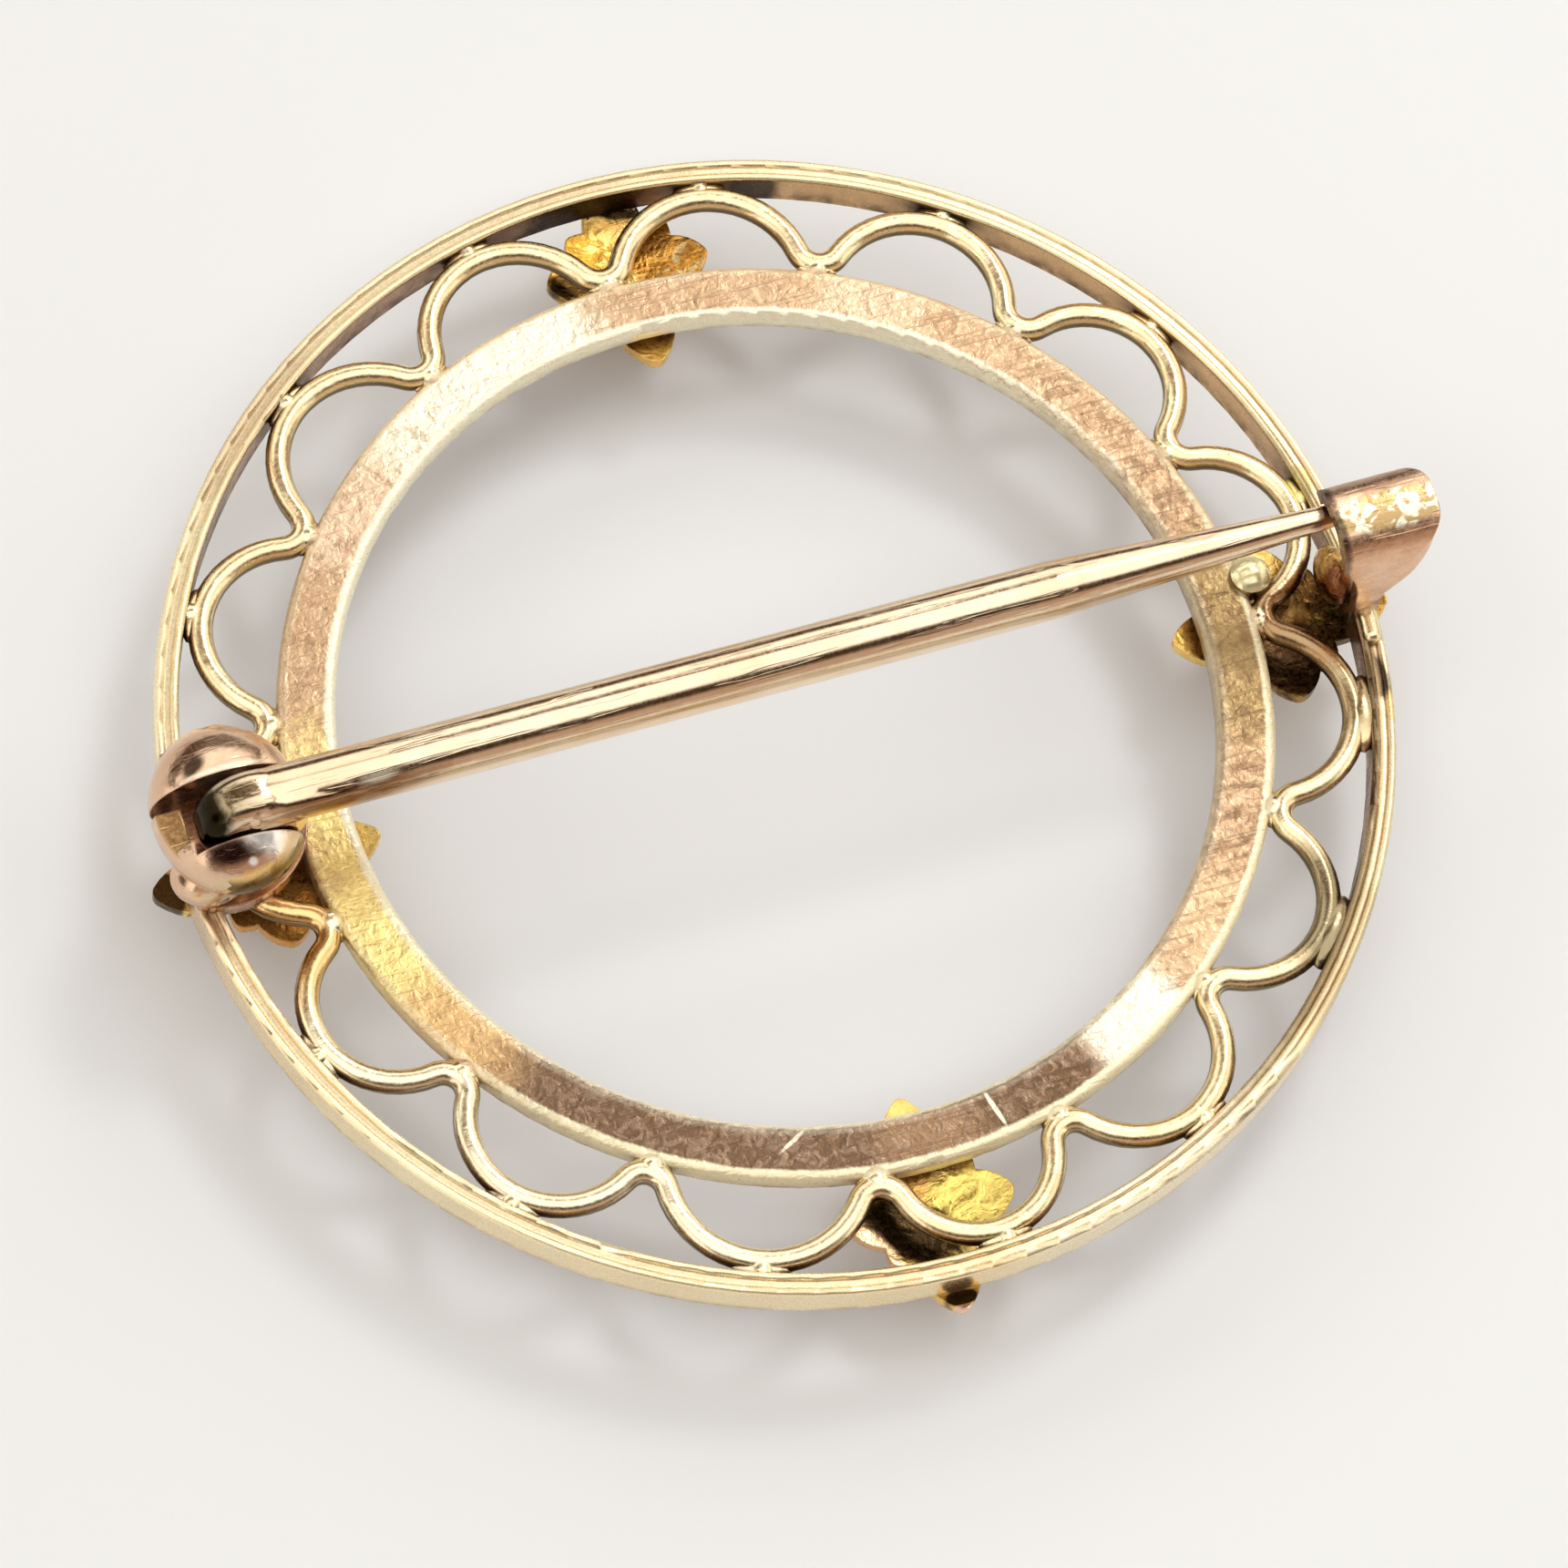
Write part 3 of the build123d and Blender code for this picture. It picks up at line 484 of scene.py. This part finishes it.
# the frame's faces are sorted into the pieces that they belong to, by place in millimetres from the ring's
# middle; a slack is how far the middle of a face may lie off its surface
frameRegions = {
    "order": ["wireGold", "rimGold", "rimInsideShade", "bandGold", "leafGold", "hingeGold", "catchGold",
              "lumpGold", "solderGold"],
    "rimInner": 11.53, "rimSlack": 0.015, "rimInsideTop": -0.07, "rimOuter": 12.005, "rimFront": -0.905,
    "bandInner": 8.52, "bandOuter": 9.67, "bandFront": -0.63, "leafGap": 0.02,
    # drops of solder at the wire's joints, as (radius on the ring, size)
    "drops": {"peak": (11.43, 0.28), "valley": (9.72, 0.31)},
    "dropZ": -0.34, "dropSlack": 0.012, "dropBetween": (9.675, 11.515), "dropGrowth": 0.03,
    # the valleys' angles: the first in degrees, and how far each lies off an even spacing
    "firstValley": 165.0,
    "valleyDrift": [0.4, 0.2, -1.1, -1.4, -2.1, -2.3, -1.5, -0.9, -0.8, -0.4, -0.4, 1.3, 0.1, 0.5, 1.5],
    # the hinge's base plate as (x, y, radius), its foot on the rim as (x, z)
    "plate": (-11.13, 0.65, 1.76), "plateSlack": 0.02, "plateLevel": 0.004, "plateUnder": -0.16,
    "plateSide": -0.165, "foot": (-12.0, -0.05),
    # the catch and the solder at its foot, along x and y as (middle, reach)
    "catchFrom": 10.8, "catchSide": (-0.4, 1.1), "catchBottom": 0.19,
    "catchSolder": {"x": (11.75, 0.3), "y": (-1.08, 0.95), "bottom": 0.005},
    "lump": {"at": (11.28, -0.36, 0.22), "size": (0.34, 0.60, 0.62), "slack": 0.03},
    "mound": {"at": (9.80, 0.20), "radius": 0.41, "bottom": -0.115},
}


def faceCentres(obj):
    me = obj.data
    centre = np.empty(len(me.polygons) * 3)
    me.polygons.foreach_get("center", centre)
    return (centre.reshape(-1, 3) - np.array(ringMiddle)) / mm


def dropCentres():
    look = frameRegions
    count = len(look["valleyDrift"])
    valleys = [look["firstValley"] - i * 360 / count + d for i, d in enumerate(look["valleyDrift"])]
    valleys.append(valleys[0] - 360)
    for i in range(count):
        for kind, angle in (("valley", valleys[i]), ("peak", (valleys[i] + valleys[i + 1]) / 2)):
            radius, size = look["drops"][kind]
            a = math.radians(angle)
            grown = size * (1 + look["dropGrowth"] * look["valleyDrift"][i])
            yield radius * math.cos(a), radius * math.sin(a), grown, kind


def dressFrame():
    obj = nodes["frame"]
    look = frameRegions
    obj.data.materials.clear()
    for name in look["order"]:
        obj.data.materials.append(golds[name])
    x, y, z = faceCentres(obj).T
    r = np.hypot(x, y)
    kind = np.zeros(len(x), dtype=np.int32)

    def paint(faces, name):
        kind[faces] = look["order"].index(name)

    inner, slack = look["rimInner"], look["rimSlack"]
    paint(r > inner + slack, "rimGold")
    # the rim's inner wall gets the darker copy, painted shade
    paint((abs(r - inner) < slack) & (z < look["rimInsideTop"]), "rimInsideShade")
    paint(r < look["bandOuter"], "bandGold")
    between = (r > look["dropBetween"][0]) & (r < look["dropBetween"][1])
    for cx, cy, size, _ in dropCentres():
        far = np.sqrt((x - cx) ** 2 + (y - cy) ** 2 + (z - look["dropZ"]) ** 2)
        paint((abs(far - size) < look["dropSlack"]) & between, "solderGold")
    paint((z < look["bandFront"]) & (r < inner - look["leafGap"]), "leafGold")
    paint((z < look["rimFront"]) | (r > look["rimOuter"]) | (r < look["bandInner"]), "leafGold")
    px, py, plateRadius = look["plate"]
    plate = np.hypot(x - px, y - py)
    level = look["plateLevel"]
    paint((plate < plateRadius) & ((z > level) | (abs(z - look["plateUnder"]) < level)), "hingeGold")
    paint((abs(plate - plateRadius) < look["plateSlack"]) & (z > look["plateSide"]), "hingeGold")
    paint((x < look["foot"][0]) & (z > look["foot"][1]), "hingeGold")
    middle, reach = look["catchSide"]
    paint((x > look["catchFrom"]) & (abs(y - middle) < reach) & (z > look["catchBottom"]), "catchGold")
    (sx, sxReach), (sy, syReach) = look["catchSolder"]["x"], look["catchSolder"]["y"]
    low = (z > look["catchSolder"]["bottom"]) & (z < look["catchBottom"])
    paint((abs(x - sx) < sxReach) & (abs(y - sy) < syReach) & low, "solderGold")
    lump, mound = look["lump"], look["mound"]
    far = np.sqrt(sum(((v - at) / size) ** 2 for v, at, size in zip((x, y, z), lump["at"], lump["size"])))
    paint(abs(far - 1.0) < lump["slack"], "lumpGold")
    far = np.hypot(x - mound["at"][0], y - mound["at"][1])
    paint((far < mound["radius"]) & (z > mound["bottom"]), "solderGold")
    obj.data.polygons.foreach_set("material_index", kind)
    obj.data.update()


def dressNode(name, material):
    nodes[name].data.materials.clear()
    nodes[name].data.materials.append(material)


# solder that has run along the joints of the wire; sizes in millimetres, along the ring, across it and up
solderRuns = {
    "peak": {"radius": 11.39, "size": (0.56, 0.24, 0.20), "z": -0.30},
    "valley": {"radius": 9.74, "size": (0.40, 0.20, 0.20), "z": -0.30},
    "heavy": {"from": 312, "to": 355, "swell": 1.45},     # the joints of these angles got more solder
    "uneven": 0.10,
    "lumps": 1.7,          # how fine the unevenness is
    "between": 3,          # how much it differs from joint to joint
    "rings": 10,
    "around": 20,
}


def makeSolderRuns():
    verts, faces = [], []
    rings, around, heavy = solderRuns["rings"], solderRuns["around"], solderRuns["heavy"]
    for cx, cy, _, kind in dropCentres():
        look = solderRuns[kind]
        a = math.atan2(cy, cx)
        isHeavy = kind == "peak" and heavy["from"] < math.degrees(a) % 360 < heavy["to"]
        full = heavy["swell"] if isHeavy else 1.0
        out, along = Vector((math.cos(a), math.sin(a), 0)), Vector((-math.sin(a), math.cos(a), 0))
        middle = out * look["radius"] + Vector((0, 0, look["z"]))
        first = len(verts)
        for i in range(rings + 1):
            for j in range(around):
                p, q = math.pi * i / rings, 2 * math.pi * j / around
                way = Vector((math.cos(p), math.sin(p) * math.cos(q), math.sin(p) * math.sin(q)))
                bump = surfaceNoise(way * solderRuns["lumps"] + middle * solderRuns["between"])
                swell = full + solderRuns["uneven"] * bump
                at = middle + (along * way.x * look["size"][0] + out * way.y * look["size"][1]
                               + Vector((0, 0, way.z * look["size"][2]))) * swell
                verts.append(fromRing(*at))
        for i in range(rings):
            for j in range(around):
                k = (j + 1) % around
                faces.append([first + i * around + j, first + i * around + k,
                              first + (i + 1) * around + k, first + (i + 1) * around + j])
    me = bpy.data.meshes.new("solder_runs")
    me.from_pydata(verts, [], faces)
    me.polygons.foreach_set("use_smooth", [True] * len(me.polygons))
    me.materials.append(golds["wireGold"])
    obj = bpy.data.objects.new("solder_runs", me)
    scene.collection.objects.link(obj)
    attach(obj, "brooch")


# the pearls lie on the front; noise scales per millimetre, lengths in millimetres
pearlLook = {
    "count": 4,
    "body": (0.86, 0.80, 0.70),
    "blush": (0.84, 0.70, 0.64),
    "clouds": 1.4,
    "cloudsAt": (0.35, 0.65),
    "growth": (0.72, 0.62, 0.50),     # faint rings
    "growthAmount": 0.25,
    "growthScale": 2.0,
    "growthAt": (0.55, 0.75),
    "flatten": 6.0,                   # how much closer the rings lie upwards than sideways
    "rough": (0.16, 0.30),
    "fine": 18.0,
    "fineAt": (0.3, 0.7),
    "lumps": 5.0,
    "lumpHeight": 0.004,
    "glow": 0.25,
    "glowRadius": (0.9, 0.7, 0.5),
    "glowScale": 0.3,
}


def makeNacre():
    look = pearlLook
    mat, tree = freshMaterial("pearlNacre")
    place = ringPlace(tree)
    clouds = noise(tree, place, look["clouds"], detail=4.0, roughness=0.5, distortion=0.8)
    flat = addNode(tree, "Mapping", Vector=place, Scale=(1.0, 1.0, look["flatten"])).outputs["Vector"]
    rings = smooth(tree, noise(tree, flat, look["growthScale"], detail=4.0), *look["growthAt"],
                   0.0, look["growthAmount"])
    colour = blend(tree, smooth(tree, clouds, *look["cloudsAt"]), look["body"], look["blush"])
    colour = blend(tree, rings, colour, look["growth"])
    rough = smooth(tree, noise(tree, place, look["fine"], detail=4.0), *look["fineAt"], *look["rough"])
    lumps = noise(tree, place, look["lumps"], detail=4.0, roughness=0.6)
    bump = addNode(tree, "Bump", Strength=1.0, Distance=look["lumpHeight"] * mm, Height=lumps)
    body = addNode(tree, "BsdfPrincipled", Base_Color=colour, Roughness=rough, Normal=bump.outputs["Normal"],
                   IOR=1.6, Coat_Weight=0.5, Coat_Roughness=0.12, Sheen_Weight=0.2, Sheen_Roughness=0.4,
                   Subsurface_Weight=look["glow"], Subsurface_Radius=look["glowRadius"],
                   Subsurface_Scale=look["glowScale"] * mm)
    addNode(tree, "OutputMaterial", Surface=body.outputs["BSDF"])
    return mat


dressFrame()
makeSolderRuns()
dressNode("pin_stem", golds["stemGold"])
dressNode("hinge_rivet", golds["hingeGold"])
nacre = makeNacre()
for i in range(pearlLook["count"]):
    dressNode(f"pearl_{i + 1}", nacre)
print("nodes dressed")


# floor, sky and lights
studio = {
    "floorColour": (0.85, 0.87, 0.885),
    "floorRough": 0.45,
    "floorReach": 1.5,     # metres from the middle to each side
    "skyPower": 1.5,
    # sky across the stem, as (angle from the zenith to the far side, colour)
    "across": [(-100, (0.34, 0.25, 0.20)), (-66, (0.34, 0.25, 0.20)), (-56, (0.035, 0.02, 0.012)),
               (-37, (0.035, 0.02, 0.012)), (-29, (0.97, 0.95, 0.92)), (16, (1.0, 0.985, 0.96)),
               (20, (0.12, 0.075, 0.045)), (36, (0.12, 0.075, 0.045)), (40, (0.96, 0.93, 0.88)),
               (63, (0.96, 0.93, 0.88)), (70, (0.06, 0.035, 0.02)), (100, (0.06, 0.035, 0.02))],
    # sky towards the stem's two ends, as (sine of the angle out of the stem's cross plane, colour)
    "ends": [(0.0, (1.0, 0.97, 0.92)), (0.60, (1.0, 0.97, 0.92)), (0.65, (0.08, 0.05, 0.03)),
             (0.71, (0.08, 0.05, 0.03)), (0.745, (1.0, 0.95, 0.88)), (0.92, (0.85, 0.80, 0.72)),
             (0.96, (0.10, 0.07, 0.05)), (1.0, (0.10, 0.07, 0.05))],
    "endsFrom": (0.55, 0.72),
    # one softbox, in metres and watts
    "key": {"position": (0.14, 0.12, 0.26), "size": (0.08, 0.06), "power": 0.16},
}


def makeFloor():
    me = bpy.data.meshes.new("floor")
    reach = studio["floorReach"]
    corners = [(-reach, -reach, 0), (reach, -reach, 0), (reach, reach, 0), (-reach, reach, 0)]
    me.from_pydata(corners, [], [(0, 1, 2, 3)])
    obj = bpy.data.objects.new("floor", me)
    scene.collection.objects.link(obj)
    mat, tree = freshMaterial("paleFloor")
    body = addNode(tree, "BsdfPrincipled", Base_Color=(*studio["floorColour"], 1),
                   Roughness=studio["floorRough"])
    addNode(tree, "OutputMaterial", Surface=body.outputs["BSDF"])
    me.materials.append(mat)


def skyRamp(tree, value, stops):
    low, high = float(stops[0][0]), float(stops[-1][0])
    share = addNode(tree, "MapRange", Value=value, From_Min=low, From_Max=high).outputs["Result"]
    ramp = addNode(tree, "ValToRGB", Fac=share)
    elements = ramp.color_ramp.elements
    while len(elements) < len(stops):
        elements.new(0.5)
    for element, (stop, colour) in zip(elements, stops):
        element.position = (stop - low) / (high - low)
        element.color = (*colour, 1)
    return ramp.outputs["Color"]


def makeSky():
    world = bpy.data.worlds.new("studioSky")
    scene.world = world
    world.use_nodes = True
    tree = world.node_tree
    tree.nodes.clear()
    way = addNode(tree, "SeparateXYZ", Vector=addNode(tree, "TexCoord").outputs["Generated"]).outputs
    angle = doMath(tree, "DEGREES", doMath(tree, "ARCTAN2", way["Y"], way["Z"]))
    across = skyRamp(tree, angle, studio["across"])
    along = doMath(tree, "ABSOLUTE", way["X"])
    ends = skyRamp(tree, along, studio["ends"])
    colour = blend(tree, smooth(tree, along, *studio["endsFrom"]), across, ends)
    back = addNode(tree, "Background", Color=colour, Strength=studio["skyPower"])
    addNode(tree, "OutputWorld", Surface=back.outputs["Background"])


def makeKeyLight():
    look = studio["key"]
    data = bpy.data.lights.new("keySoftbox", "AREA")
    data.shape = "RECTANGLE"
    data.size, data.size_y = look["size"]
    data.energy = look["power"]
    obj = bpy.data.objects.new("keySoftbox", data)
    obj.location = look["position"]
    obj.rotation_euler = (-Vector(look["position"])).to_track_quat("-Z", "Y").to_euler()
    scene.collection.objects.link(obj)


makeFloor()
makeSky()
makeKeyLight()
scene.view_settings.view_transform = "Standard"
print("studio lit")
